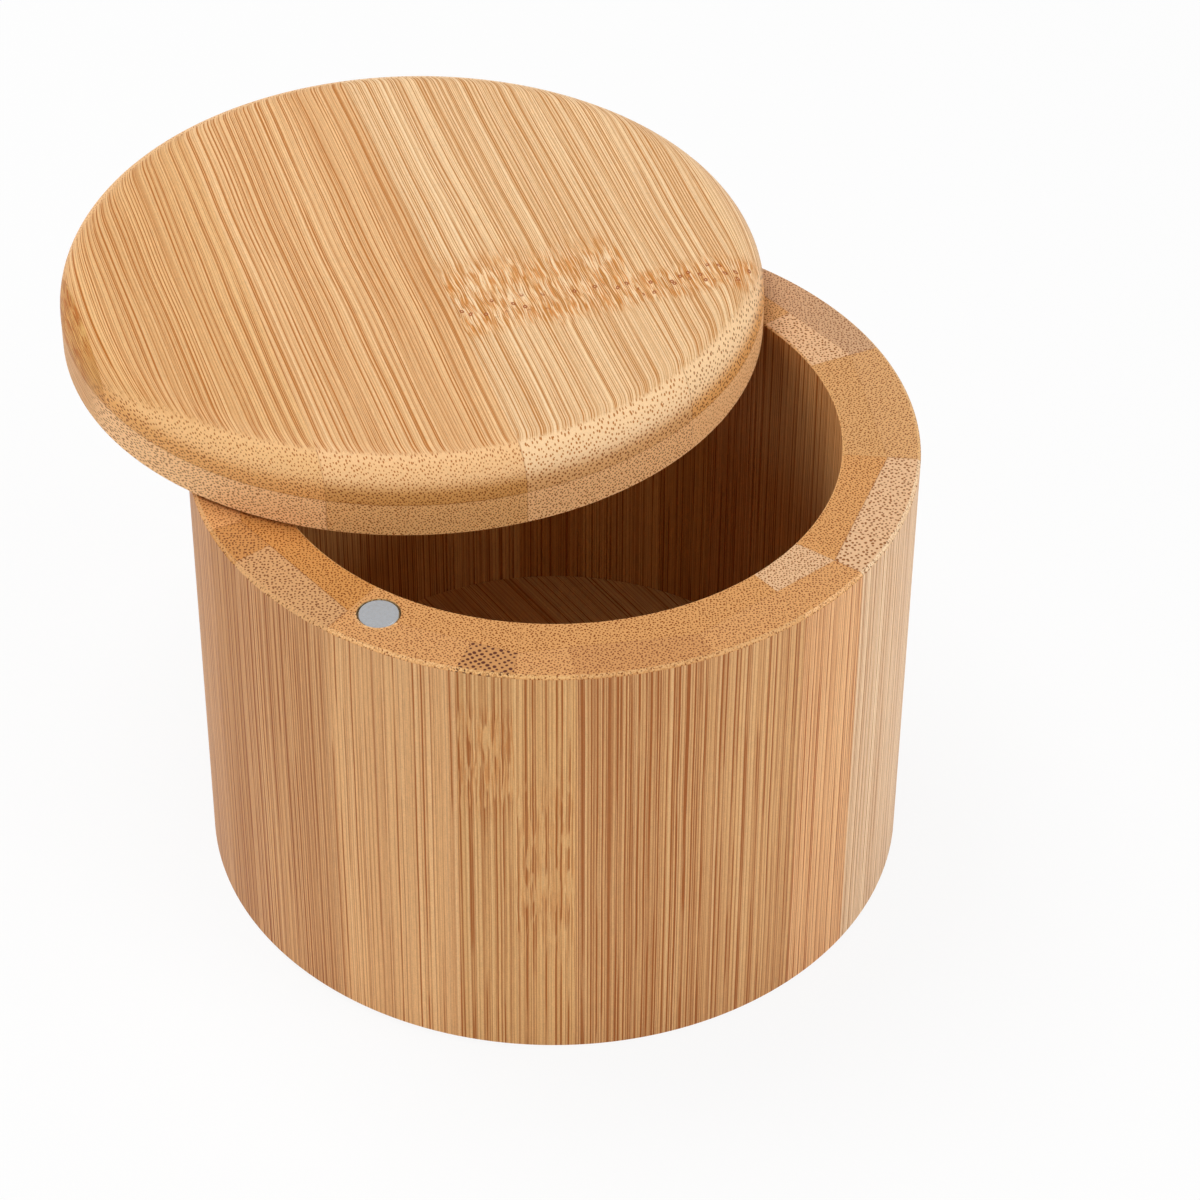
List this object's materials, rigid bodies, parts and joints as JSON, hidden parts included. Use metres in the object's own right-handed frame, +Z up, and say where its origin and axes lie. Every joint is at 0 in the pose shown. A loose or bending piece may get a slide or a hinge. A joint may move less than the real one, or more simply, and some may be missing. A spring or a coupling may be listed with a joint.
{
  "type": "salt box with swivel lid",
  "caption": "Round laminated bamboo salt box. Its flat lid swivels sideways on an upright pin in the rim and is held shut by a pair of small magnets.",
  "frame": {"origin": "centre of the flat underside of the box, on the surface that it stands on", "axes": "+Z up; +Y towards the pivot pin at the back of the rim, -Y towards the rim magnet at the front; +X to the right. The lid is modelled 45.5 degrees open, swung towards -X, as in the picture."},
  "size_m": [0.1162, 0.1001, 0.0706],
  "materials": {
    "wall_bamboo": "lightly oiled laminated bamboo, satin",
    "floor_bamboo": "lightly oiled laminated bamboo, satin",
    "lid_bamboo": "lightly oiled laminated bamboo, satin",
    "magnet": "nickel-plated, satin",
    "pin_steel": "bright steel"
  },
  "bodies": {
    "box": {"outer_stave_01": "wall_bamboo", "outer_stave_02": "wall_bamboo", "outer_stave_03": "wall_bamboo", "outer_stave_04": "wall_bamboo", "outer_stave_05": "wall_bamboo", "outer_stave_06": "wall_bamboo", "outer_stave_07": "wall_bamboo", "outer_stave_08": "wall_bamboo", "outer_stave_09": "wall_bamboo", "outer_stave_10": "wall_bamboo", "outer_stave_11": "wall_bamboo", "outer_stave_12": "wall_bamboo", "inner_stave_01": "wall_bamboo", "inner_stave_02": "wall_bamboo", "inner_stave_03": "wall_bamboo", "inner_stave_04": "wall_bamboo", "inner_stave_05": "wall_bamboo", "inner_stave_06": "wall_bamboo", "inner_stave_07": "wall_bamboo", "inner_stave_08": "wall_bamboo", "inner_stave_09": "wall_bamboo", "inner_stave_10": "wall_bamboo", "inner_stave_11": "wall_bamboo", "inner_stave_12": "wall_bamboo", "floor_lower_plank_01": "floor_bamboo", "floor_lower_plank_02": "floor_bamboo", "floor_lower_plank_03": "floor_bamboo", "floor_upper_plank_01": "floor_bamboo", "floor_upper_plank_02": "floor_bamboo", "floor_upper_plank_03": "floor_bamboo", "rim_magnet": "magnet", "pivot_pin": "pin_steel"},
    "lid": {"lid_lower_plank_01": "lid_bamboo", "lid_lower_plank_02": "lid_bamboo", "lid_lower_plank_03": "lid_bamboo", "lid_lower_plank_04": "lid_bamboo", "lid_upper_plank_01": "lid_bamboo", "lid_upper_plank_02": "lid_bamboo", "lid_upper_plank_03": "lid_bamboo", "lid_upper_plank_04": "lid_bamboo", "lid_magnet": "magnet"}
  },
  "joints": [
    {"name": "lid_swivel", "type": "hinge", "parent": "box", "child": "lid", "pos_m": [0, 0.0389, 0.0605], "axis": [0, 0, -1], "range_deg": [-45.5, 314.5]}
  ]
}
